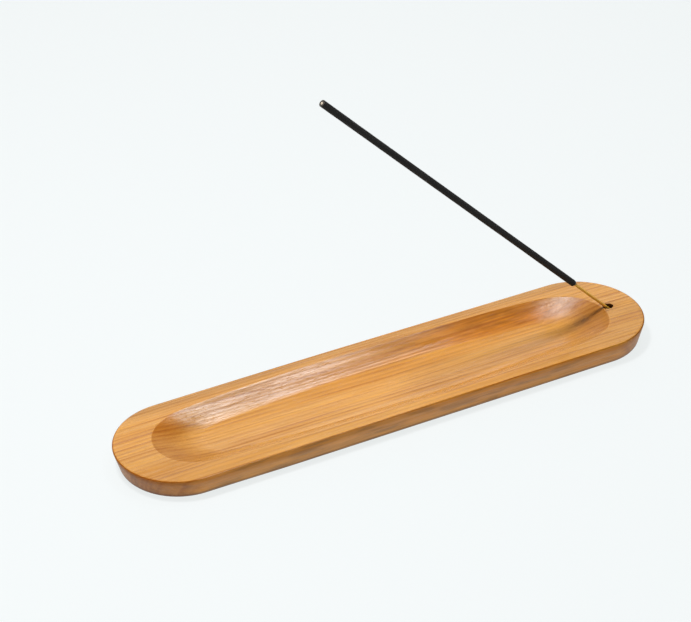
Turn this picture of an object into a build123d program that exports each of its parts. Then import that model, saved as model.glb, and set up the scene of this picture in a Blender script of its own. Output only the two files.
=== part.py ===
from build123d import *
import os
from math import sin, cos, radians, hypot

os.makedirs("parts", exist_ok=True)

# ---------------------------------------------------------------- dimensions
# Millimetres. Origin at the middle of the underside, +Z up, +X along the
# tray towards the end with the stick hole.

# tray block
TRAY_L = 250.0          # overall length, round end to round end
TRAY_W = 55.5           # overall width at the top edge
TRAY_T = 10.5           # thickness
UNDERCUT = 2.2          # the sides lean in by this much at the underside
TOP_ROUND = 0.6         # eased edge around the top
FOOT_ROUND = 1.5        # eased edge around the underside

# ash trough: its wall runs straight down between two bowed ovals, given as
# (height, half width in the middle, half width where the end arc starts,
#  half length); the wall is carried on above the rim and below the floor
RIM_OVAL = (TRAY_T, 22.2, 19.0, 108.5)
FOOT_OVAL = (4.9, 14.1, 9.3, 91.0)
ABOVE_Z = 12.0
BELOW_Z = 3.9
FLOOR_Z = 4.55          # lowest point of the dished floor
FLOOR_R_ACROSS = 170.0  # dish radius across the tray
FLOOR_R_ALONG = 9000.0  # dish radius along the tray
COVE_R = 7.0            # cove between wall and floor
RIM_ROUND = 2.2         # eased edge around the mouth of the trough

# stick hole, drilled on a slant
BORE_D = 3.6
BORE_ELEV = 55.0        # slope of the hole, degrees above level
BORE_X = 111.3          # middle of its mouth on the top face
BORE_DEPTH = 8.4        # along its own axis

# incense stick
STICK_ELEV = 43.7       # slope of the stick where it comes to rest
SPLINT_D = 1.3
COAT_D = 3.0
STICK_GAP = 0.12        # air between the splint and the lip of the hole
STICK_IN = 8.8          # length below the top face
BARE_OUT = 25.4         # bare length above the top face
COAT_L = 170.8          # coated length
COAT_END_ROUND = 0.6    # rounded lower end of the coating
COAT_TIP_ROUND = 0.12   # tip, cut off almost square

# ------------------------------------------------------------- derived sizes
LIP_X = BORE_X - BORE_D / 2 / sin(radians(BORE_ELEV))
STICK_X = LIP_X + (SPLINT_D / 2 + STICK_GAP) / sin(radians(STICK_ELEV))
STICK_TOP = BARE_OUT + COAT_L
BARREL_E = 130.0
BARREL_RISE = BARREL_E**2 / (2 * FLOOR_R_ALONG)


def oval_at(z):
    """Size of the wall's oval at a height, carried on straight past both ends."""
    t = (z - FOOT_OVAL[0]) / (RIM_OVAL[0] - FOOT_OVAL[0])
    return [f + t * (r - f) for r, f in zip(RIM_OVAL[1:], FOOT_OVAL[1:])]


def oval_join(half_w, end_w, half_l):
    """A bowed oval has two side arcs through the widest points and two end
    arcs tangent to them. Returns where they join, on the positive side."""
    reach = half_l - end_w
    bow = half_w - end_w
    side_r = (reach * reach + bow * bow) / (2 * bow)
    k = side_r - half_w
    c = (k * k - (side_r - half_l) ** 2) / (2 * (side_r - half_l))
    r = half_l - c
    d = hypot(c, k)
    return c + r * c / d, r * k / d


def leaning_plane(x, z, elev):
    """Plane whose normal points up and to the left at the given slope."""
    n = (-cos(radians(elev)), 0, sin(radians(elev)))
    return Plane(origin=(x, 0, z), x_dir=(0, 1, 0), z_dir=n)


# ------------------------------------------------------------- trough hollow
with BuildPart() as trough_hollow:
    # sloping wall
    for z in (ABOVE_Z, BELOW_Z):
        half_w, end_w, half_l = oval_at(z)
        jx, jy = oval_join(half_w, end_w, half_l)
        with BuildSketch(Plane.XY.offset(z)):
            with BuildLine():
                ThreePointArc((-jx, jy), (0, half_w), (jx, jy))
                ThreePointArc((jx, jy), (half_l, 0), (jx, -jy))
                ThreePointArc((jx, -jy), (0, -half_w), (-jx, -jy))
                ThreePointArc((-jx, -jy), (-half_l, 0), (-jx, jy))
            make_face()
    loft(ruled=True)
    # dished floor, a barrel about an axis high above the tray
    with BuildSketch(Plane.XZ):
        with BuildLine():
            ThreePointArc(
                (-BARREL_E, FLOOR_Z + BARREL_RISE),
                (0, FLOOR_Z),
                (BARREL_E, FLOOR_Z + BARREL_RISE),
            )
            Polyline(
                (BARREL_E, FLOOR_Z + BARREL_RISE),
                (BARREL_E, FLOOR_Z + FLOOR_R_ACROSS),
                (-BARREL_E, FLOOR_Z + FLOOR_R_ACROSS),
                (-BARREL_E, FLOOR_Z + BARREL_RISE),
            )
        make_face()
    revolve(axis=Axis((0, 0, FLOOR_Z + FLOOR_R_ACROSS), (1, 0, 0)), mode=Mode.INTERSECT)
    # cove where the wall meets the floor
    fillet(trough_hollow.faces().sort_by(Axis.Z)[0].edges(), COVE_R)

# -------------------------------------------------------------- wooden tray
with BuildPart() as wooden_tray:
    # block with round ends, wider at the top than at the underside
    with BuildSketch(Plane.XY.offset(TRAY_T)):
        SlotOverall(TRAY_L, TRAY_W)
    with BuildSketch(Plane.XY):
        SlotOverall(TRAY_L - 2 * UNDERCUT, TRAY_W - 2 * UNDERCUT)
    loft(ruled=True)
    fillet(wooden_tray.faces().sort_by(Axis.Z)[-1].edges(), TOP_ROUND)
    fillet(wooden_tray.faces().sort_by(Axis.Z)[0].edges(), FOOT_ROUND)
    # ash trough
    add(trough_hollow.part, mode=Mode.SUBTRACT)
    rim = wooden_tray.faces().filter_by(Plane.XY).sort_by(Axis.Z)[-1].inner_wires()[0]
    fillet(rim.edges(), RIM_ROUND)
    # slanted blind hole for the stick, drilled in from above the top face
    with BuildSketch(leaning_plane(BORE_X, TRAY_T, BORE_ELEV).offset(6)):
        Circle(BORE_D / 2)
    extrude(amount=-(BORE_DEPTH + 6), mode=Mode.SUBTRACT)
wooden_tray.part.label = "wooden_tray"

# ------------------------------------------------------------ bamboo splint
stick_plane = leaning_plane(STICK_X, TRAY_T, STICK_ELEV)

with BuildPart() as bamboo_splint:
    with BuildSketch(stick_plane.offset(-STICK_IN)):
        Circle(SPLINT_D / 2)
    extrude(amount=STICK_IN + STICK_TOP)
bamboo_splint.part.label = "bamboo_splint"

# ---------------------------------------------------------- incense coating
with BuildPart() as incense_coating:
    with BuildSketch(stick_plane.offset(BARE_OUT)):
        Circle(COAT_D / 2)
        Circle(SPLINT_D / 2, mode=Mode.SUBTRACT)
    extrude(amount=COAT_L)
    ends = incense_coating.edges().filter_by(GeomType.CIRCLE).sort_by(Axis.Z)
    outer = [e for e in ends if e.radius > SPLINT_D]
    fillet(outer[0], COAT_END_ROUND)
    outer = [
        e
        for e in incense_coating.edges().filter_by(GeomType.CIRCLE).sort_by(Axis.Z)
        if e.radius > SPLINT_D
    ]
    fillet(outer[-1], COAT_TIP_ROUND)
incense_coating.part.label = "incense_coating"

# ------------------------------------------------------------------- export
export_step(wooden_tray.part, "parts/wooden_tray.step")
export_step(bamboo_splint.part, "parts/bamboo_splint.step")
export_step(incense_coating.part, "parts/incense_coating.step")
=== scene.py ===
import bpy
import numpy as np
from math import sin, cos, tan, atan, atan2, asin, hypot, pi, radians
from mathutils import Matrix, Vector, noise


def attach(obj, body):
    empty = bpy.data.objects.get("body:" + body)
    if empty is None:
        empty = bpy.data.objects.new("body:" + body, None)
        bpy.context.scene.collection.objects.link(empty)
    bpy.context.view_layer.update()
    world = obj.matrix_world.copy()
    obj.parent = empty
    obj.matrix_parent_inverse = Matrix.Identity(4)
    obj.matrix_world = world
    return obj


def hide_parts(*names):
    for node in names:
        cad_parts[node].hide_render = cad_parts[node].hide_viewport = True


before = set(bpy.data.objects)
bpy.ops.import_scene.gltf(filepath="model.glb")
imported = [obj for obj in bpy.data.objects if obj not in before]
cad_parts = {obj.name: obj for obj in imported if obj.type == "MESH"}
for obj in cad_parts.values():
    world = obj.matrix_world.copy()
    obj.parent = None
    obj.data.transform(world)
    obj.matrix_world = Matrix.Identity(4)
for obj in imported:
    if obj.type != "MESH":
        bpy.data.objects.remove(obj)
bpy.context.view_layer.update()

MM = 0.001

# ------------------------------------------------------------------ the sizes
# Millimetres, the same as the CAD model.
TRAY_L, TRAY_W, TRAY_T = 250.0, 55.5, 10.5
UNDERCUT, TOP_ROUND, FOOT_ROUND = 2.2, 0.6, 1.5
RIM_OVAL = (TRAY_T, 22.2, 19.0, 108.5)
FOOT_OVAL = (4.9, 14.1, 9.3, 91.0)
ABOVE_Z, BELOW_Z = 12.0, 3.9
FLOOR_Z, FLOOR_R_ACROSS, FLOOR_R_ALONG = 4.55, 170.0, 9000.0
COVE_R, END_COVE_R, RIM_ROUND = 7.0, 60.0, 2.2
BORE_D, BORE_ELEV, BORE_X, BORE_DEPTH = 3.6, 55.0, 111.3, 8.4
STICK_ELEV, SPLINT_D, COAT_D, STICK_GAP = 43.7, 1.3, 3.0, 0.12
STICK_IN, BARE_OUT, COAT_L = 8.8, 25.4, 170.8
SOFTEN = 7.0            # length over which the side arcs run into the end arcs
THIN_FROM, THIN_BY = -10.0, 1.0  # sanded thinner towards the end without the hole
DRAW_IN = 0.020          # and its foot drawn in by this share of the end radius
LIP_X = BORE_X - BORE_D / 2 / sin(radians(BORE_ELEV))
STICK_X = LIP_X + (SPLINT_D / 2 + STICK_GAP) / sin(radians(STICK_ELEV))


# -------------------------------------------------------------- mesh helpers
def wobble(points, scale, seed=0.0):
    """Smooth noise, about -1 to 1, at each point; scale is a size in mm per axis."""
    sx, sy, sz = scale
    return np.array(
        [noise.noise(Vector((p[0] / sx + seed, p[1] / sy - seed, p[2] / sz + 0.37 * seed))) for p in points]
    )


def make_object(name, verts_mm, faces, angle=32.0):
    me = bpy.data.meshes.new(name)
    me.from_pydata([tuple(v) for v in np.asarray(verts_mm) * MM], [], faces)
    me.validate()
    me.update()
    ob = bpy.data.objects.new(name, me)
    bpy.context.scene.collection.objects.link(ob)
    smooth(me, angle)
    return ob


def smooth(me, angle):
    me.polygons.foreach_set("use_smooth", [True] * len(me.polygons))
    me.set_sharp_from_angle(angle=radians(angle))


def bridge(start_a, start_b, n):
    """Quads between two closed loops of n points."""
    i = np.arange(n)
    j = (i + 1) % n
    return np.stack([start_a + i, start_a + j, start_b + j, start_b + i], 1).tolist()


# --------------------------------------------------------------- tray outline
SIDE_N, END_N = 300, 132
LOOP_N = 2 * (SIDE_N + END_N)


def stadium(length, width):
    r, c = width / 2, (length - width) / 2
    x = np.linspace(-c, c, SIDE_N, endpoint=False)
    top = np.c_[x, np.full(SIDE_N, r)]
    a = np.linspace(pi / 2, -pi / 2, END_N, endpoint=False)
    right = np.c_[c + r * np.cos(a), r * np.sin(a)]
    return np.r_[top, right, -top, -right]


def oval_at(z):
    t = (z - FOOT_OVAL[0]) / (RIM_OVAL[0] - FOOT_OVAL[0])
    return [f + t * (r - f) for r, f in zip(RIM_OVAL[1:], FOOT_OVAL[1:])]


def oval(half_w, end_w, half_l):
    reach, bow = half_l - end_w, half_w - end_w
    side_r = (reach * reach + bow * bow) / (2 * bow)
    k = side_r - half_w
    c = (k * k - (side_r - half_l) ** 2) / (2 * (side_r - half_l))
    r = half_l - c
    d = hypot(c, k)
    jx, jy = c + r * c / d, r * k / d
    side_l = 2 * side_r * asin(jx / side_r)
    end_l = 2 * r * atan2(jy, jx - c)
    # curvature around the loop from the middle of one side, softened at the joints
    n = 4096
    loop_l = 2 * (side_l + end_l)
    s = np.arange(n) * loop_l / n
    on_end = np.abs((s % (loop_l / 2)) - loop_l / 4) < end_l / 2
    curve = np.where(on_end, 1 / r, 1 / side_r)
    freq = np.fft.rfftfreq(n, loop_l / n)
    curve = np.fft.irfft(np.fft.rfft(curve) * np.exp(-2 * (pi * SOFTEN * freq) ** 2), n)
    # one quarter of the loop, then scaled back to its length and width
    q = n // 4
    step = loop_l / n
    turn = np.r_[0.0, np.cumsum((curve[:q] + curve[1 : q + 1]) / 2) * step]
    turn *= (pi / 2) / turn[-1]
    qx = np.r_[0.0, np.cumsum((np.cos(turn[:-1]) + np.cos(turn[1:])) / 2)]
    qy = np.r_[0.0, np.cumsum((np.sin(turn[:-1]) + np.sin(turn[1:])) / 2)]
    qx *= half_l / qx[-1]
    qy = half_w * (1 - qy / qy[-1])
    sq = np.arange(q + 1) * step

    def at(s):
        u = np.abs(s)
        past = u > loop_l / 4
        u = np.where(past, loop_l / 2 - u, u)
        return np.c_[np.sign(s) * np.interp(u, sq, qx), np.where(past, -1, 1) * np.interp(u, sq, qy)]

    top = at(np.linspace(-side_l / 2, side_l / 2, SIDE_N, endpoint=False))
    right = at(side_l / 2 + np.linspace(0, end_l, END_N, endpoint=False))
    return np.r_[top, right, -top, -right]


def outer_profile():
    """(inset, z) up the outside: eased foot, leaning wall, eased top edge."""
    lean = atan(UNDERCUT / TRAY_T)
    out = []
    t = FOOT_ROUND * tan((pi / 2 - lean) / 2)
    cx, cz = UNDERCUT + t, FOOT_ROUND
    for k in np.linspace(0, 1, 9):
        a = k * (pi / 2 - lean)
        out.append((cx - FOOT_ROUND * sin(a), cz - FOOT_ROUND * cos(a)))
    foot_end = out[-1]
    t = TOP_ROUND * tan((pi / 2 + lean) / 2)
    cx, cz = t, TRAY_T - TOP_ROUND
    top = []
    for k in np.linspace(0, 1, 9):
        a = -lean + k * (pi / 2 + lean)
        top.append((cx - TOP_ROUND * cos(a), cz + TOP_ROUND * sin(a)))
    for k in np.linspace(0, 1, 11)[1:-1]:
        out.append(tuple(np.array(foot_end) * (1 - k) + np.array(top[0]) * k))
    return out + top


def smooth_max(a, b, k):
    h = np.maximum(k - np.abs(a - b), 0) / k
    return np.maximum(a, b) + h * h * k / 4


def smooth_min(a, b, k):
    return -smooth_max(-a, -b, k)


def floor_height(xy):
    rise = xy[:, 0] ** 2 / (2 * FLOOR_R_ALONG)
    rho = FLOOR_R_ACROSS - rise
    return FLOOR_Z + FLOOR_R_ACROSS - np.sqrt(rho * rho - xy[:, 1] ** 2)


def build_tray():
    loops = []

    def flat_loop(xy, z):
        loops.append(np.c_[xy, np.broadcast_to(np.asarray(z, float), len(xy))])

    # underside, from the middle out
    profile = outer_profile()
    edge = profile[0][0]
    for inset in (27.0, 23.5, 19.5, 15.5, 12.0, 9.0, 7.0, 5.6, edge + 0.6):
        flat_loop(stadium(TRAY_L - 2 * inset, TRAY_W - 2 * inset), 0.0)
    # foot, wall and top edge
    for inset, z in profile:
        flat_loop(stadium(TRAY_L - 2 * inset, TRAY_W - 2 * inset), z)
    last = loops[-1][:, :2]

    # trough wall: straight lines from the rim down to the foot of the wall
    above, below = oval(*oval_at(ABOVE_Z)), oval(*oval_at(BELOW_Z))
    span = ABOVE_Z - BELOW_Z
    rim = above + (below - above) * ((ABOVE_Z - TRAY_T) / span)
    foot = above + (below - above) * ((ABOVE_Z - FOOT_OVAL[0]) / span)
    # the rim line wanders by about a tenth of a millimetre, as a sanded edge does
    flat3 = np.c_[rim, np.zeros(len(rim))]
    inward = foot - rim
    width = np.linalg.norm(inward, axis=1)
    inward /= width[:, None]
    wander = 0.10 * wobble(flat3, (34, 34, 34), 3.1) + 0.05 * wobble(flat3, (11, 11, 11), 8.3)
    drop = TRAY_T - FOOT_OVAL[0]
    slope = drop / width
    lean = np.arctan(slope)
    beta = np.abs(foot[:, 1]) / FLOOR_R_ACROSS
    # the cove is tight along the sides and opens into a scoop at the two ends
    facing = np.abs(inward[:, 0]) ** 3.0
    cove_r = COVE_R + (END_COVE_R - COVE_R) * facing
    cove = cove_r * np.tan((lean - beta) / 2) * (slope - np.tan(beta))
    ease = RIM_ROUND * np.tan(lean / 2) * slope

    # flat top, from the eased edge to just outside the rim
    brink = rim - inward * 0.9
    for t in (0.06, 0.14, 0.24, 0.36, 0.48, 0.60, 0.72, 0.83, 0.92, 0.97):
        flat_loop(last + (brink - last) * t, TRAY_T)

    def height(xy, s):
        wall = TRAY_T - slope * (s - wander)
        z = smooth_max(wall, floor_height(xy), cove)
        return smooth_min(np.full(len(z), TRAY_T), z, ease)

    spine = stadium(2 * 66.9, 1.8)
    ahead = spine - foot
    reach = np.linalg.norm(ahead, axis=1)
    ahead /= reach[:, None]
    steps = [-0.9, -0.7, -0.52, -0.36, -0.22, -0.08, 0.06, 0.2, 0.34, 0.5, 0.68, 0.9]
    for s in steps:
        xy = rim + inward * s
        flat_loop(xy, height(xy, np.full(len(xy), s)))
    for f in np.linspace(0.12, 0.66, 9):
        s = 0.9 + (width - 0.9 - 2.6) * ((f - 0.04) / 0.66)
        xy = rim + inward * s[:, None]
        flat_loop(xy, height(xy, s))
    for d in np.linspace(-2.6, 0, 9):
        s = width + d
        xy = rim + inward * s[:, None]
        flat_loop(xy, height(xy, s))
    for d in np.linspace(0.33, 3.0, 9):
        xy = foot + ahead * np.minimum(d, reach * 0.5)[:, None]
        flat_loop(xy, height(xy, width + d))
    for f in np.linspace(0, 1, 15)[1:]:
        d = np.minimum(3.0, reach * 0.5) + (reach - np.minimum(3.0, reach * 0.5)) * f
        xy = foot + ahead * d[:, None]
        flat_loop(xy, height(xy, width + d))

    verts = np.concatenate(loops)
    faces = []
    for k in range(len(loops) - 1):
        faces += bridge(k * LOOP_N, (k + 1) * LOOP_N, LOOP_N)

    def cap(start, flip):
        top = [start + i for i in range(SIDE_N + 1)]
        bottom = [start + SIDE_N + END_N + i for i in range(SIDE_N + 1)]
        made = []
        for j in range(SIDE_N):
            made.append([top[j], top[j + 1], bottom[SIDE_N - j - 1], bottom[SIDE_N - j]])
        made.append([start + SIDE_N + i for i in range(END_N + 1)])
        last_end = [start + 2 * SIDE_N + END_N + i for i in range(END_N)] + [start]
        made.append(last_end)
        return [m[::-1] for m in made] if flip else made

    faces += cap(0, True)
    faces += cap((len(loops) - 1) * LOOP_N, False)

    # slight unevenness left by hand sanding, none on the underside
    up = np.clip((verts[:, 2] - 3.0) / 3.0, 0, 1)
    calm = np.clip((np.hypot(verts[:, 0] - BORE_X, verts[:, 1]) - 4.0) / 6.0, 0, 1)
    verts[:, 2] += up * calm * (
        0.022 * wobble(verts, (80, 16, 40), 1.7) + 0.004 * wobble(verts, (42, 4.5, 12), 5.2) - 0.03
    )
    side = np.clip((verts[:, 2] - 0.6) / 2.0, 0, 1)
    grow = 1.0 + side * 0.0006 * wobble(verts, (30, 30, 14), 9.4)
    verts[:, 1] *= grow
    end_c = (TRAY_L - TRAY_W) / 2
    near = np.clip((-verts[:, 0] - 55.0) / (end_c - 55.0), 0, 1)
    draw = 1 - DRAW_IN * near * near * (3 - 2 * near) * np.clip(1 - verts[:, 2] / TRAY_T, 0, 1)
    verts[:, 1] *= draw
    beyond = np.minimum(verts[:, 0] + end_c, 0)
    verts[:, 0] += beyond * (draw - 1)
    thin = THIN_BY * (np.clip(THIN_FROM - verts[:, 0], 0, None) / (TRAY_L / 2 + THIN_FROM)) ** 1.3
    verts[:, 2] *= 1 - thin / TRAY_T
    return verts, faces


def bore_cutter():
    """The slanted hole, with an eased mouth that follows the top face."""
    n = 72
    axis = np.array([-cos(radians(BORE_ELEV)), 0, sin(radians(BORE_ELEV))])
    across = np.array([sin(radians(BORE_ELEV)), 0, cos(radians(BORE_ELEV))])
    mouth = np.array([BORE_X, 0, TRAY_T])
    phi = np.linspace(0, 2 * pi, n, endpoint=False) + 0.6 * pi / n
    ring = BORE_D / 2 * (np.cos(phi)[:, None] * across + np.sin(phi)[:, None] * np.array([0, 1, 0]))
    loops = [mouth + 0.2 * ring - axis * BORE_DEPTH, mouth + 0.93 * ring - axis * BORE_DEPTH, mouth + ring - axis * (BORE_DEPTH - 0.15)]
    for z, flare in ((10.14, 0.0), (10.26, 0.04), (10.36, 0.11), (10.44, 0.20), (10.50, 0.31), (10.56, 0.48), (10.9, 1.6)):
        t = (z - TRAY_T - ring[:, 2]) / axis[2]
        p = mouth + ring + t[:, None] * axis
        mid = p.mean(0)
        d = p - mid
        d /= np.linalg.norm(d, axis=1)[:, None]
        loops.append(p + d * flare)
    verts = np.concatenate(loops)
    faces = []
    for k in range(len(loops) - 1):
        faces += bridge(k * n, (k + 1) * n, n)
    faces.append(list(range(n))[::-1])
    faces.append([(len(loops) - 1) * n + i for i in range(n)])
    return verts, faces


def flip_if_inside_out(ob):
    import bmesh

    bm = bmesh.new()
    bm.from_mesh(ob.data)
    bmesh.ops.recalc_face_normals(bm, faces=bm.faces)
    bm.to_mesh(ob.data)
    bm.free()


def tidy(ob):
    """Join points that fall together where the hole cuts the top face."""
    import bmesh

    bm = bmesh.new()
    bm.from_mesh(ob.data)
    bmesh.ops.remove_doubles(bm, verts=bm.verts, dist=0.002 * MM)
    bmesh.ops.dissolve_degenerate(bm, dist=0.002 * MM, edges=bm.edges)
    bm.to_mesh(ob.data)
    bm.free()


tray = make_object("tray_carved", *build_tray())
flip_if_inside_out(tray)
cutter = make_object("bore_cutter", *bore_cutter())
flip_if_inside_out(cutter)
cut = tray.modifiers.new("bore", "BOOLEAN")
cut.operation = "DIFFERENCE"
cut.solver = "EXACT"
cut.object = cutter
bpy.context.view_layer.update()
carved = bpy.data.meshes.new_from_object(tray.evaluated_get(bpy.context.evaluated_depsgraph_get()))
tray.modifiers.clear()
old = tray.data
tray.data = carved
bpy.data.meshes.remove(old)
carved.name = "tray_carved"
bpy.data.objects.remove(cutter)
tidy(tray)
smooth(tray.data, 32)

# ------------------------------------------------------------------ the stick
U = np.array([-cos(radians(STICK_ELEV)), 0.0, sin(radians(STICK_ELEV))])
V = np.array([0.0, 1.0, 0.0])
Wd = np.cross(U, V)
P0 = np.array([STICK_X, 0.0, TRAY_T])


def stick_points(s, radius, phi):
    """Points around the stick's axis at distance s from the top face."""
    return P0 + np.asarray(s)[..., None] * U + (radius * np.cos(phi))[..., None] * V + (radius * np.sin(phi))[..., None] * Wd


def build_splint():
    n = 40
    phi = np.linspace(0, 2 * pi, n, endpoint=False)
    # split bamboo: a rounded square with fibre ridges along it
    rng = np.random.default_rng(7)
    ridge = 0.018 * np.sin(7 * phi + 0.6) + 0.014 * np.sin(12 * phi + 2.1) + 0.010 * rng.standard_normal(n).clip(-1.5, 1.5)
    shape = 0.610 + 0.016 * np.cos(4 * phi + 0.5) + ridge * 0.6
    top = BARE_OUT + COAT_L
    s = np.r_[-STICK_IN, -STICK_IN + 0.06, -STICK_IN + 0.2, np.linspace(-STICK_IN + 0.6, BARE_OUT + 2, 120), np.linspace(BARE_OUT + 5, top - 0.5, 40), top - 0.12, top - 0.03, top]
    loops = []
    for k, a in enumerate(s):
        f = 1.0
        if k == 0:
            f = 0.88
        elif k == 1:
            f = 0.97
        elif k == len(s) - 1:
            f = 0.93
        wave = np.array([noise.noise(Vector((a / 9.0, 2.5 * cos(p), 2.5 * sin(p)))) for p in phi])
        r = np.minimum((shape + 0.016 * wave) * f, SPLINT_D / 2)
        loops.append(stick_points(np.full(n, a), r, phi))
    # cut ends, slightly dished and torn
    for end, sign in ((0, -1), (-1, 1)):
        rings = []
        for f in (0.8, 0.55, 0.3, 0.1):
            base = loops[end]
            mid = base.mean(0)
            p = mid + (base - mid) * f
            lift = np.array([noise.noise(Vector((f * 6 * cos(q), f * 6 * sin(q), 4.0 * sign))) for q in phi])
            rings.append(p - sign * U * (0.03 + 0.03 * lift)[:, None])
        loops = rings[::-1] + loops if end == 0 else loops + rings
    verts = np.concatenate(loops)
    faces = []
    for k in range(len(loops) - 1):
        faces += bridge(k * n, (k + 1) * n, n)
    faces.append(list(range(n))[::-1])
    faces.append([(len(loops) - 1) * n + i for i in range(n)])
    return verts, faces


def build_coating():
    n = 44
    phi = np.linspace(0, 2 * pi, n, endpoint=False)
    R, r_in = COAT_D / 2, SPLINT_D / 2 - 0.015
    lo, hi = BARE_OUT, BARE_OUT + COAT_L
    # profile along the stick: inside lower lip, rounded lower end, body, cut tip
    prof = [(lo + 1.2, r_in), (lo + 0.25, r_in + 0.01), (lo + 0.06, r_in + 0.07), (lo + 0.0, r_in + 0.2)]
    for a in np.linspace(0.12, 1, 8):
        q = a * pi / 2
        prof.append((lo + 0.95 * (1 - cos(q)) * 0.9, r_in + 0.2 + (R - 0.05 - r_in - 0.2) * sin(q)))
    body = np.linspace(lo + 1.3, hi - 0.35, 560)
    prof += [(s, R - 0.03) for s in body]
    prof += [(hi - 0.18, R - 0.04), (hi - 0.07, R - 0.08), (hi - 0.01, R - 0.17), (hi, R - 0.30), (hi, R - 0.50), (hi - 0.01, r_in + 0.10), (hi - 0.05, r_in + 0.01), (hi - 1.2, r_in)]
    loops = []
    for s, r in prof:
        free = min(1.0, max(0.0, (r - r_in - 0.05) / 0.5))
        grain = np.array(
            [
                0.55 * noise.noise(Vector((s / 0.55, 2.6 * cos(p), 2.6 * sin(p))))
                + 0.35 * noise.noise(Vector((s / 0.30 + 9, 4.6 * cos(p), 4.6 * sin(p))))
                for p in phi
            ]
        )
        lump = np.array([noise.noise(Vector((s / 7.5 + 40, 0.9 * cos(p), 0.9 * sin(p)))) for p in phi])
        slow = noise.noise(Vector((s / 26.0, 3.3, 7.7)))
        rr = r + free * (0.030 * grain + 0.030 * lump + 0.030 * slow - 0.015)
        rr = np.minimum(rr, R + 0.02)
        # the lower end of the paste is a little ragged
        low = min(1.0, max(0.0, 1 - (s - lo) / 1.6)) if r > r_in + 0.015 else 0.0
        rag = np.array([noise.noise(Vector((1.7 * cos(p), 1.7 * sin(p), 12.5))) for p in phi])
        loops.append(stick_points(s + 0.30 * low * (rag + 0.2), rr, phi))
    verts = np.concatenate(loops)
    faces = []
    for k in range(len(loops) - 1):
        faces += bridge(k * n, (k + 1) * n, n)
    # closed along the splint, so the shell is a tube
    faces += bridge((len(loops) - 1) * n, 0, n)
    return verts, faces


splint = make_object("splint_bamboo", *build_splint(), angle=50)
flip_if_inside_out(splint)
smooth(splint.data, 50)
coating = make_object("coating_paste", *build_coating(), angle=60)
flip_if_inside_out(coating)
smooth(coating.data, 60)


# ------------------------------------------------------------------ materials
class Tree:
    """Short hand for building a node tree."""

    def __init__(self, name):
        self.mat = bpy.data.materials.new(name)
        self.mat.use_nodes = True
        self.nt = self.mat.node_tree
        self.nt.nodes.clear()
        self.out = self.nt.nodes.new("ShaderNodeOutputMaterial")
        self.bsdf = self.nt.nodes.new("ShaderNodeBsdfPrincipled")
        self.nt.links.new(self.bsdf.outputs[0], self.out.inputs[0])

    def node(self, kind, **inputs):
        n = self.nt.nodes.new(kind)
        for k, v in inputs.items():
            self.put(n.inputs[k], v)
        return n

    def put(self, socket, v):
        if isinstance(v, bpy.types.NodeSocket):
            self.nt.links.new(v, socket)
        elif isinstance(v, bpy.types.Node):
            self.nt.links.new(v.outputs[0], socket)
        else:
            socket.default_value = v

    def math(self, op, a, b=None, clamp=False):
        n = self.nt.nodes.new("ShaderNodeMath")
        n.operation = op
        n.use_clamp = clamp
        self.put(n.inputs[0], a)
        if b is not None:
            self.put(n.inputs[1], b)
        return n.outputs[0]

    def vec(self, op, a, b=None):
        n = self.nt.nodes.new("ShaderNodeVectorMath")
        n.operation = op
        self.put(n.inputs[0], a)
        if b is not None:
            self.put(n.inputs[1], b)
        return n.outputs["Value"] if op in ("LENGTH", "DOT_PRODUCT", "DISTANCE") else n.outputs["Vector"]

    def xyz(self, v):
        n = self.nt.nodes.new("ShaderNodeSeparateXYZ")
        self.put(n.inputs[0], v)
        return n.outputs

    def noise(self, vector, scale=1.0, detail=2.0, rough=0.5, colour=False):
        n = self.nt.nodes.new("ShaderNodeTexNoise")
        self.put(n.inputs["Vector"], vector)
        n.inputs["Scale"].default_value = scale
        n.inputs["Detail"].default_value = detail
        n.inputs["Roughness"].default_value = rough
        return n.outputs["Color"] if colour else n.outputs[0]

    def ramp(self, fac, stops, smooth=True):
        n = self.nt.nodes.new("ShaderNodeValToRGB")
        n.color_ramp.interpolation = "EASE" if smooth else "LINEAR"
        while len(n.color_ramp.elements) < len(stops):
            n.color_ramp.elements.new(0.5)
        for e, (p, c) in zip(n.color_ramp.elements, stops):
            e.position = p
            e.color = (c, c, c, 1) if isinstance(c, (int, float)) else (*c, 1)
        self.put(n.inputs[0], fac)
        return n.outputs[0]

    def mix(self, fac, a, b, kind="MIX"):
        n = self.nt.nodes.new("ShaderNodeMix")
        n.data_type = "RGBA"
        n.blend_type = kind
        n.clamp_factor = True
        self.put(n.inputs[0], fac)
        self.put(n.inputs[6], a if not isinstance(a, tuple) else (*a, 1))
        self.put(n.inputs[7], b if not isinstance(b, tuple) else (*b, 1))
        return n.outputs[2]

    def bump(self, height, distance, strength=1.0):
        n = self.nt.nodes.new("ShaderNodeBump")
        n.inputs["Strength"].default_value = strength
        n.inputs["Distance"].default_value = distance
        self.put(n.inputs["Height"], height)
        return n.outputs[0]


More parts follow.
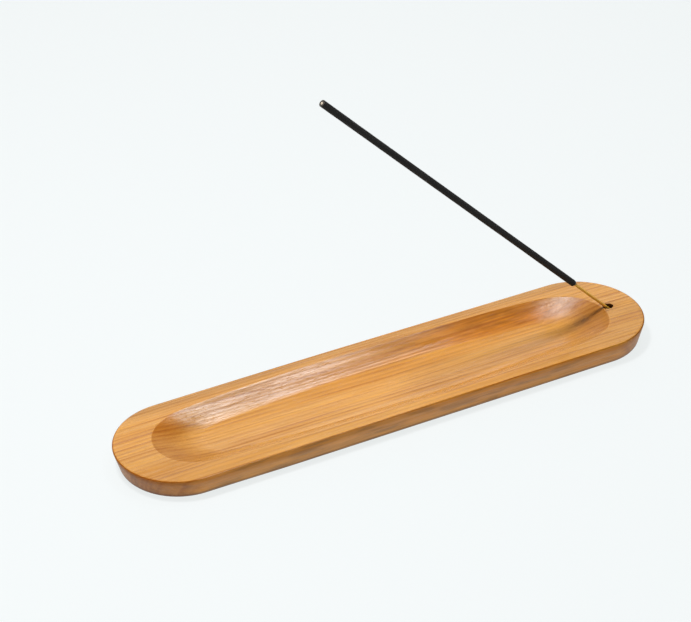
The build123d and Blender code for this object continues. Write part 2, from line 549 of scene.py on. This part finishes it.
def wood_material():
    t = Tree("tray_wood_lacquered")
    tc = t.node("ShaderNodeTexCoord")
    p = t.vec("MULTIPLY", tc.outputs["Object"], (1000.0, 1000.0, 1000.0))  # mm
    # slow wander of the grain
    w1 = t.noise(t.vec("MULTIPLY", p, (1 / 120, 1 / 26, 1 / 26)), detail=1.0, colour=True)
    w1 = t.vec("MULTIPLY", t.vec("SUBTRACT", w1, (0.5, 0.5, 0.5)), (0.0, 3.2, 3.2))
    w2 = t.noise(t.vec("MULTIPLY", p, (1 / 30, 1 / 6, 1 / 6)), detail=1.0, colour=True)
    w2 = t.vec("MULTIPLY", t.vec("SUBTRACT", w2, (0.5, 0.5, 0.5)), (0.0, 0.5, 0.5))
    q = t.vec("ADD", t.vec("ADD", p, w1), w2)
    x, y, z = t.xyz(q)
    at_x, at_y, at_z = t.xyz(p)
    share = t.math("MULTIPLY", t.math("ADD", at_x, TRAY_L / 2), 1 / TRAY_L)  # 0 to 1 along the tray
    # growth rings about a pith far in front and below, slightly out of line
    dy = t.math("ADD", t.math("ADD", y, 150.0), t.math("MULTIPLY", x, 0.012))
    dz = t.math("ADD", t.math("ADD", z, 55.0), t.math("MULTIPLY", x, -0.010))
    radius = t.math("SQRT", t.math("ADD", t.math("MULTIPLY", dy, dy), t.math("MULTIPLY", dz, dz)))
    one = t.node("ShaderNodeTexNoise")
    one.noise_dimensions = "1D"
    t.put(one.inputs["W"], t.math("MULTIPLY", radius, 0.13))
    one.inputs["Scale"].default_value = 1.0
    one.inputs["Detail"].default_value = 1.0
    phase = t.math("ADD", t.math("MULTIPLY", radius, 1 / 2.0), t.math("MULTIPLY", one.outputs[0], 2.2))
    frac = t.math("FRACT", phase)
    late = t.ramp(frac, [(0.0, 0.12), (0.26, 0.20), (0.52, 0.58), (0.72, 0.95), (0.86, 0.68), (1.0, 0.12)])
    ring_id = t.math("FLOOR", phase)
    wn = t.node("ShaderNodeTexWhiteNoise")
    wn.noise_dimensions = "1D"
    t.put(wn.inputs["W"], ring_id)
    ring_gain = t.math("ADD", t.math("MULTIPLY", wn.outputs["Value"], 0.70), 0.45)
    patchy = t.noise(t.vec("MULTIPLY", q, (1 / 34, 1 / 3.5, 1 / 3.5)), detail=2.0)
    patchy = t.ramp(patchy, [(0.32, 0.25), (0.5, 0.85), (0.68, 1.25)], smooth=False)
    late = t.math("MULTIPLY", t.math("MULTIPLY", late, ring_gain), patchy)
    # fibres, fine fibres and open pores along the grain
    fibre = t.noise(t.vec("MULTIPLY", q, (1 / 26, 1 / 0.62, 1 / 0.62)), detail=3.0, rough=0.6)
    fine = t.noise(t.vec("MULTIPLY", p, (1 / 8, 1 / 0.21, 1 / 0.21)), detail=2.0, rough=0.6)
    pore = t.noise(t.vec("MULTIPLY", p, (1 / 3.6, 1 / 0.17, 1 / 0.17)), detail=1.0, rough=0.5)
    pore = t.ramp(pore, [(0.60, 0.0), (0.72, 1.0)], smooth=False)
    tone = t.noise(t.vec("MULTIPLY", q, (1 / 95, 1 / 9, 1 / 9)), detail=2.0, rough=0.5)
    # colour
    light, mid, dark = (0.622, 0.308, 0.062), (0.545, 0.243, 0.036), (0.345, 0.116, 0.010)
    base = t.mix(t.ramp(tone, [(0.30, 0.0), (0.70, 1.0)]), light, mid)
    base = t.mix(t.math("MULTIPLY", late, 0.75), base, dark)
    # lighter from the middle towards the back, and darker again at the back edge
    back_lighter = t.ramp(t.math("ADD", t.math("MULTIPLY", y, 1 / 56.0), 0.5), [(0.30, 1.0), (0.70, 1.12), (0.85, 1.08), (0.94, 0.87)])
    base = t.mix(1.0, base, back_lighter, "MULTIPLY")
    streak = t.ramp(fibre, [(0.28, 0.86), (0.5, 1.0), (0.74, 1.09)], smooth=False)
    base = t.mix(1.0, base, streak, "MULTIPLY")
    hair = t.ramp(fine, [(0.30, 0.93), (0.5, 1.0), (0.70, 1.04)], smooth=False)
    base = t.mix(1.0, base, hair, "MULTIPLY")
    base = t.mix(t.math("MULTIPLY", pore, 0.30), base, (0.20, 0.060, 0.010))
    # the top edge is rubbed dull and a little darker
    over = t.math("MAXIMUM", t.math("SUBTRACT", t.math("ABSOLUTE", at_x), (TRAY_L - TRAY_W) / 2), 0.0)
    reach = t.math("SQRT", t.math("ADD", t.math("MULTIPLY", over, over), t.math("MULTIPLY", at_y, at_y)))
    edge = t.ramp(t.math("SUBTRACT", t.math("MULTIPLY", reach, 2 / TRAY_W), 0.5), [(0.462, 0.0), (0.486, 1.0)])
    base = t.mix(t.math("MULTIPLY", edge, 0.35), base, (0.34, 0.115, 0.010))
    # end grain takes a darker finish; the far wall of the trough, which faces the front, gets painted shade that
    # changes along the tray
    nx, ny, nz = t.xyz(tc.outputs["Normal"])
    end = t.ramp(t.math("ABSOLUTE", nx), [(0.04, 0.0), (0.34, 0.62), (0.95, 1.0)])
    slant = t.ramp(t.math("ABSOLUTE", nz), [(0.45, 0.0), (0.78, 1.0), (0.93, 1.0), (0.98, 0.5), (0.998, 0.0)])
    across = t.ramp(t.math("MULTIPLY", ny, -1.0), [(0.02, 0.0), (0.30, 1.0)])
    slant = t.math("MULTIPLY", slant, across)
    far_wall_shade = t.ramp(
        share,
        [
            (0.09, (0.77, 0.60, 0.32)),
            (0.16, (0.69, 0.68, 0.64)),
            (0.52, (0.80, 0.73, 0.54)),
            (0.72, (0.77, 0.58, 0.26)),
            (0.81, (0.77, 0.58, 0.26)),
            (0.90, (0.70, 0.64, 0.44)),
        ],
    )
    base = t.mix(slant, base, t.mix(1.0, base, far_wall_shade, "MULTIPLY"))
    # the far wall: mottled by the short grain, with painted light low on the wall and painted shade darkest just
    # under the rim
    mottle = t.noise(t.vec("MULTIPLY", q, (1 / 10, 1 / 1.9, 1 / 1.9)), detail=3.0, rough=0.6)
    cloudy = t.ramp(mottle, [(0.32, (0.84, 0.81, 0.72)), (0.5, (1.0, 1.0, 1.0)), (0.68, (1.14, 1.17, 1.25))], smooth=False)
    climb = t.math("MULTIPLY", t.math("SUBTRACT", at_z, 5.0), 1 / 5.5)
    shade = t.ramp(climb, [(0.0, (1.12, 1.15, 1.25)), (0.40, (1.02, 1.03, 1.05)), (0.75, (0.93, 0.93, 0.90)), (1.0, (0.88, 0.88, 0.80))])
    far_wall_mottle_and_shade = t.mix(1.0, t.mix(1.0, base, cloudy, "MULTIPLY"), shade, "MULTIPLY")
    far_wall_mottle_and_shade = t.mix(1.0, far_wall_mottle_and_shade, t.ramp(fibre, [(0.28, 0.88), (0.5, 1.0), (0.74, 1.10)], smooth=False), "MULTIPLY")
    where = t.ramp(share, [(0.46, 0.12), (0.66, 1.0), (0.86, 1.0), (0.93, 0.5)])
    base = t.mix(t.math("MULTIPLY", slant, where), base, far_wall_mottle_and_shade)
    flank = t.ramp(t.math("ABSOLUTE", nz), [(0.30, 1.0), (0.60, 0.0)])
    base = t.mix(t.math("MULTIPLY", flank, 0.25), base, (0.62, 0.215, 0.024))
    warm = t.ramp(share, [(0.02, (1.0, 1.0, 1.0)), (0.07, (1.08, 1.05, 0.94)), (0.16, (1.06, 1.04, 0.95)), (0.28, (1.0, 1.0, 1.0))])
    base = t.mix(flank, base, t.mix(1.0, base, warm, "MULTIPLY"))
    # the outside is blotchy, and painted contact shade darkens its foot low down
    blotch = t.noise(t.vec("MULTIPLY", q, (1 / 17, 1 / 4.0, 1 / 3.0)), detail=2.0)
    blotch = t.ramp(blotch, [(0.34, (0.80, 0.77, 0.74)), (0.5, (1.08, 1.03, 0.97)), (0.66, (1.24, 1.18, 1.10))])
    base = t.mix(flank, base, t.mix(1.0, base, blotch, "MULTIPLY"))
    low = t.ramp(t.math("MULTIPLY", at_z, 1 / TRAY_T), [(0.05, 0.95), (0.12, 0.5), (0.25, 0.0)])
    skirt = t.ramp(t.math("ADD", t.math("MULTIPLY", nz, 0.5), 0.5), [(0.005, 0.0), (0.03, 1.0), (0.65, 1.0), (0.80, 0.0)])
    base = t.mix(t.math("MULTIPLY", skirt, low), base, (0.07, 0.027, 0.008))
    drawn = t.math("MULTIPLY", end, t.math("SUBTRACT", 0.70, t.math("MULTIPLY", flank, 0.20)))
    base = t.mix(drawn, base, (0.195, 0.036, 0.002))
    # painted shade along the tray: darker at both ends, lighter in the middle
    painted_shade_along_tray = t.ramp(share, [(0.08, 0.92), (0.30, 0.97), (0.52, 1.05), (0.70, 1.05), (0.95, 0.96)])
    base = t.mix(1.0, base, painted_shade_along_tray, "MULTIPLY")
    # painted shadow of the stick around its foot under the hole
    along = t.math("MULTIPLY", t.math("SUBTRACT", at_x, BORE_X - 7.0), 1 / 14.0)
    beside = t.math("MULTIPLY", at_y, 1 / 6.5)
    painted_stick_shadow = t.math("SQRT", t.math("ADD", t.math("MULTIPLY", along, along), t.math("MULTIPLY", beside, beside)))
    painted_stick_shadow = t.ramp(painted_stick_shadow, [(0.0, (0.74, 0.70, 0.64)), (0.45, (0.82, 0.79, 0.75)), (1.0, (1.0, 1.0, 1.0))])
    base = t.mix(1.0, base, painted_stick_shadow, "MULTIPLY")
    # painted shade darkens the inside of the drilled hole
    rel = t.vec("SUBTRACT", p, (BORE_X, 0.0, TRAY_T))
    axis = (cos(radians(BORE_ELEV)), 0.0, -sin(radians(BORE_ELEV)))
    deep = t.vec("DOT_PRODUCT", rel, axis)
    foot = t.nt.nodes.new("ShaderNodeVectorMath")
    foot.operation = "SCALE"
    foot.inputs[0].default_value = axis
    t.put(foot.inputs["Scale"], deep)
    off = t.vec("LENGTH", t.vec("SUBTRACT", rel, foot.outputs["Vector"]))
    hole_shade_mask = t.math("MULTIPLY", t.math("LESS_THAN", off, BORE_D / 2 + 0.22), t.math("LESS_THAN", deep, BORE_DEPTH + 0.4))
    base = t.mix(t.math("MULTIPLY", hole_shade_mask, 0.86), base, (0.050, 0.015, 0.003))
    t.put(t.bsdf.inputs["Base Color"], base)
    rough = t.math("ADD", t.math("MULTIPLY", fibre, 0.05), 0.085)
    rough = t.math("ADD", rough, t.math("MULTIPLY", pore, 0.16))
    rough = t.math("ADD", rough, t.math("MULTIPLY", t.ramp(t.math("ABSOLUTE", nx), [(0.01, 0.0), (0.16, 1.0)]), 0.13))
    rough = t.math("ADD", rough, t.ramp(t.math("ABSOLUTE", nz), [(0.55, 0.20), (0.80, 0.0), (0.90, 0.0), (0.995, 0.13)]))
    t.put(t.bsdf.inputs["Roughness"], rough)
    t.bsdf.inputs["IOR"].default_value = 1.58
    sheen = t.noise(t.vec("MULTIPLY", p, (1 / 90, 1 / 0.75, 1 / 0.75)), detail=2.0, rough=0.5)
    gloss = t.ramp(sheen, [(0.34, 0.24), (0.5, 0.54), (0.66, 0.90)], smooth=False)
    tilt = t.math("ABSOLUTE", nx)
    even = t.ramp(tilt, [(0.03, 0.0), (0.20, 0.7)])
    gloss = t.math("ADD", t.math("MULTIPLY", gloss, t.math("SUBTRACT", 1.0, even)), t.math("MULTIPLY", even, 0.67))
    gloss = t.math("MULTIPLY", gloss, t.ramp(fine, [(0.34, 0.72), (0.66, 1.28)], smooth=False))
    speckle = t.ramp(mottle, [(0.32, 0.72), (0.68, 1.28)], smooth=False)
    speckle = t.math("ADD", t.math("MULTIPLY", even, speckle), t.math("SUBTRACT", 1.0, even))
    gloss = t.math("MULTIPLY", gloss, speckle)
    dull = t.math("MAXIMUM", t.ramp(nx, [(0.04, 0.0), (0.22, 0.85)]), t.ramp(t.math("MULTIPLY", nx, -1.0), [(0.22, 0.0), (0.32, 0.90)]))
    dull = t.math("MAXIMUM", dull, t.math("MULTIPLY", t.ramp(ny, [(0.0, 0.0), (0.10, 0.80)]), t.ramp(tilt, [(0.03, 0.0), (0.15, 1.0)])))
    dull = t.math("MULTIPLY", dull, t.math("SUBTRACT", 1.0, flank))
    worn = t.ramp(share, [(0.60, 0.0), (0.69, 0.55), (0.80, 0.55), (0.87, 0.0)])
    dull = t.math("MAXIMUM", dull, t.math("MULTIPLY", worn, slant))
    dull = t.math("MAXIMUM", t.math("MAXIMUM", dull, t.math("MULTIPLY", edge, 0.80)), t.math("MULTIPLY", flank, 0.40))
    # fallen ash has taken the shine off below the stick
    along = t.math("MULTIPLY", t.math("SUBTRACT", at_x, BORE_X - 21.0), 1 / 18.0)
    beside = t.math("MULTIPLY", t.math("SUBTRACT", at_y, 0.5), 1 / 7.5)
    ash = t.math("SQRT", t.math("ADD", t.math("MULTIPLY", along, along), t.math("MULTIPLY", beside, beside)))
    dull = t.math("MAXIMUM", dull, t.ramp(ash, [(0.0, 0.80), (0.55, 0.66), (1.0, 0.0)]))
    gloss = t.math("MULTIPLY", gloss, t.math("SUBTRACT", 1.0, dull))
    t.put(t.bsdf.inputs["Specular IOR Level"], gloss)
    height = t.math("SUBTRACT", t.math("MULTIPLY", fibre, 0.55), t.math("MULTIPLY", pore, 0.8))
    height = t.math("ADD", height, t.math("MULTIPLY", late, 0.35))
    t.put(t.bsdf.inputs["Normal"], t.bump(height, 0.00003, 0.50))
    return t.mat


def along_stick(t):
    """Distance along the stick above the top face, in mm, and position in mm in
    the stick's own axes."""
    tc = t.node("ShaderNodeTexCoord")
    p = t.vec("MULTIPLY", tc.outputs["Object"], (1000.0, 1000.0, 1000.0))
    d = t.vec("SUBTRACT", p, tuple(P0))
    s = t.vec("DOT_PRODUCT", d, tuple(U))
    a = t.vec("DOT_PRODUCT", d, tuple(V))
    b = t.vec("DOT_PRODUCT", d, tuple(Wd))
    c = t.nt.nodes.new("ShaderNodeCombineXYZ")
    for i, v in enumerate((s, a, b)):
        t.put(c.inputs[i], v)
    end = t.vec("DOT_PRODUCT", tc.outputs["Normal"], tuple(U))
    return s, c.outputs[0], end


def bamboo_material():
    t = Tree("splint_bamboo_bare")
    s, p, end = along_stick(t)
    fibre = t.noise(t.vec("MULTIPLY", p, (1 / 14, 1 / 0.16, 1 / 0.16)), detail=3.0, rough=0.6)
    slow = t.noise(t.vec("MULTIPLY", p, (1 / 5.0, 1 / 0.8, 1 / 0.8)), detail=2.0)
    base = t.mix(t.ramp(fibre, [(0.32, 0.0), (0.68, 1.0)]), (0.68, 0.345, 0.026), (0.93, 0.570, 0.070))
    base = t.mix(t.math("MULTIPLY", slow, 0.35), base, (0.72, 0.37, 0.026))
    # paste smeared down on to the bare end, in a ragged line
    edge = t.math("ADD", s, t.math("MULTIPLY", t.math("SUBTRACT", slow, 0.5), 3.0))
    smear = t.ramp(t.math("MULTIPLY", t.math("SUBTRACT", edge, BARE_OUT - 2.2), 0.4, clamp=True), [(0.15, 0.0), (0.95, 0.9)])
    base = t.mix(smear, base, (0.020, 0.017, 0.014))
    # pale cut end with darker fibre bundles
    dots = t.noise(t.vec("MULTIPLY", p, (0.0, 1 / 0.13, 1 / 0.13)), detail=2.0)
    cut = t.mix(t.ramp(dots, [(0.42, 0.0), (0.62, 1.0)]), (0.60, 0.54, 0.45), (0.33, 0.26, 0.17))
    flat = t.ramp(t.math("ABSOLUTE", end), [(0.70, 0.0), (0.90, 1.0)])
    base = t.mix(flat, base, cut)
    t.put(t.bsdf.inputs["Base Color"], base)
    t.put(t.bsdf.inputs["Roughness"], t.math("ADD", t.math("MULTIPLY", fibre, 0.25), 0.42))
    t.put(t.bsdf.inputs["Normal"], t.bump(fibre, 0.00004, 0.7))
    return t.mat


def paste_material():
    t = Tree("coating_paste_black")
    s, p, end = along_stick(t)
    grain = t.noise(t.vec("MULTIPLY", p, (1 / 0.34, 1 / 0.34, 1 / 0.34)), detail=4.0, rough=0.65)
    fleck = t.noise(t.vec("MULTIPLY", p, (1 / 0.20, 1 / 0.14, 1 / 0.14)), detail=1.0)
    slow = t.noise(t.vec("MULTIPLY", p, (1 / 16.0, 1 / 1.6, 1 / 1.6)), detail=2.0)
    base = t.mix(t.ramp(grain, [(0.30, 0.0), (0.72, 1.0)]), (0.0062, 0.0060, 0.0059), (0.0180, 0.0172, 0.0166))
    base = t.mix(t.ramp(slow, [(0.35, 0.0), (0.75, 0.6)]), base, (0.0215, 0.0200, 0.0190))
    base = t.mix(t.math("MULTIPLY", t.ramp(fleck, [(0.66, 0.0), (0.74, 1.0)]), 0.55), base, (0.045, 0.036, 0.027))
    flat = t.ramp(t.math("ABSOLUTE", end), [(0.75, 0.0), (0.93, 0.6)])
    base = t.mix(flat, base, (0.085, 0.075, 0.066))
    t.put(t.bsdf.inputs["Base Color"], base)
    t.put(t.bsdf.inputs["Roughness"], t.math("ADD", t.math("MULTIPLY", grain, 0.25), 0.62))
    t.bsdf.inputs["Specular IOR Level"].default_value = 0.22
    t.put(t.bsdf.inputs["Normal"], t.bump(grain, 0.00006, 0.8))
    return t.mat


tray.data.materials.clear()
tray.data.materials.append(wood_material())
splint.data.materials.append(bamboo_material())
coating.data.materials.append(paste_material())

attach(tray, "tray")
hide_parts("wooden_tray")
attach(splint, "stick")
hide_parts("bamboo_splint")
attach(coating, "stick")
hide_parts("incense_coating")

# ----------------------------------------------------------- floor and light
scene = bpy.context.scene
scene.view_settings.view_transform = "Standard"
scene.view_settings.look = "None"

floor_me = bpy.data.meshes.new("floor")
floor_me.from_pydata([(-4, -4, -0.0003), (4, -4, -0.0003), (4, 4, -0.0003), (-4, 4, -0.0003)], [], [(0, 1, 2, 3)])
floor = bpy.data.objects.new("floor", floor_me)
scene.collection.objects.link(floor)
ft = Tree("floor_paper")
ft.bsdf.inputs["Base Color"].default_value = (0.10, 0.105, 0.11, 1)
ft.bsdf.inputs["Emission Color"].default_value = (0.96, 1.0, 1.0, 1)
ft.bsdf.inputs["Emission Strength"].default_value = 0.81
ft.bsdf.inputs["Roughness"].default_value = 0.9
ft.bsdf.inputs["Specular IOR Level"].default_value = 0.1
floor_me.materials.append(ft.mat)


def softbox(name, at, size, radiance, aim, colour=(1, 1, 1)):
    d = bpy.data.lights.new(name, "AREA")
    d.shape = "RECTANGLE"
    d.size, d.size_y = size
    d.energy = radiance * pi * size[0] * size[1]
    d.color = colour
    o = bpy.data.objects.new(name, d)
    o.location = at
    o.rotation_euler = (Vector(aim) - Vector(at)).to_track_quat("-Z", "Y").to_euler()
    scene.collection.objects.link(o)
    return o


key = softbox("key_left", (-0.24, 0.02, 0.88), (0.13, 0.12), 176.0, (-0.24, 0.02, 0.0), (1.0, 0.985, 0.97))
key.visible_glossy = False  # a polarised lamp, which leaves no glare
# a softbox over the right-hand side that fades towards its edges
SOFT_FILL = 0.35
for k, (x0, x1, y0, y1, level) in enumerate(
    (
        (0.07, 0.450, -0.40, 0.56, 0.8),
        (0.08, 0.415, -0.40, 0.56, 1.2),
        (0.09, 0.380, -0.38, 0.42, 2.1),
        (0.10, 0.350, -0.36, 0.30, 2.5),
        (0.11, 0.315, -0.33, 0.18, 1.7),
    )
):
    mid_x, mid_y = (x0 + x1) / 2, (y0 + y1) / 2
    size = (x1 - x0, y1 - y0)
    softbox(f"softbox_right_{k}", (mid_x, mid_y, 0.85 + 0.001 * k), size, level * SOFT_FILL, (mid_x, mid_y, 0.0), (0.97, 0.985, 1.0))
    # the rest of it only shows in the lacquer
    shine = softbox(f"softbox_shine_{k}", (mid_x, mid_y, 0.86 + 0.001 * k), size, level * (1 - SOFT_FILL), (mid_x, mid_y, 0.0), (0.97, 0.985, 1.0))
    shine.visible_diffuse = False
softbox("panel_back_0", (0.50, 1.0, 0.50), (1.10, 0.80), 1.0, (0.50, 0.0, 0.50), (1.0, 0.97, 0.93))
softbox("panel_back_1", (0.50, 1.0, 0.47), (1.10, 0.62), 0.85, (0.50, 0.0, 0.47), (1.0, 0.97, 0.93))

world = bpy.data.worlds.new("studio")
scene.world = world
world.use_nodes = True
wt = world.node_tree
wt.nodes.clear()
wo = wt.nodes.new("ShaderNodeOutputWorld")
wb = wt.nodes.new("ShaderNodeBackground")
wc = wt.nodes.new("ShaderNodeTexCoord")
ws = wt.nodes.new("ShaderNodeSeparateXYZ")
wr = wt.nodes.new("ShaderNodeMapRange")
wr.inputs["From Min"].default_value = -0.2
wr.inputs["From Max"].default_value = 0.9
wr.inputs["To Min"].default_value = 0.12
wr.inputs["To Max"].default_value = 0.22
wt.links.new(wc.outputs["Generated"], ws.inputs[0])
wt.links.new(ws.outputs[1], wr.inputs["Value"])
wt.links.new(wr.outputs[0], wb.inputs["Strength"])
wb.inputs["Color"].default_value = (1.0, 0.95, 0.87, 1)
wt.links.new(wb.outputs[0], wo.inputs[0])

# ------------------------------------------------------------------- camera
AZ, EL, DIST, TX, TY, FOCAL_PX = -28.255, 33.020, 852.37, 18.87, -35.295, 2000.0
a, e = radians(AZ), radians(EL)
back = Vector((sin(a) * cos(e), -cos(a) * cos(e), sin(e)))
right = Vector((cos(a), sin(a), 0))
up = back.cross(right)
cam_data = bpy.data.cameras.new("camera")
cam = bpy.data.objects.new("camera", cam_data)
scene.collection.objects.link(cam)
place = (right * -TX + up * -TY + back * DIST) * MM
cam.matrix_world = Matrix(
    (
        (right.x, up.x, back.x, place.x),
        (right.y, up.y, back.y, place.y),
        (right.z, up.z, back.z, place.z),
        (0, 0, 0, 1),
    )
)
cam_data.sensor_width = 36.0
cam_data.lens = FOCAL_PX * 36.0 / 691.0
cam_data.clip_start = 0.02
cam_data.clip_end = 20.0
scene.camera = cam

# --------------------------------------------------------------------- done
bpy.context.view_layer.update()
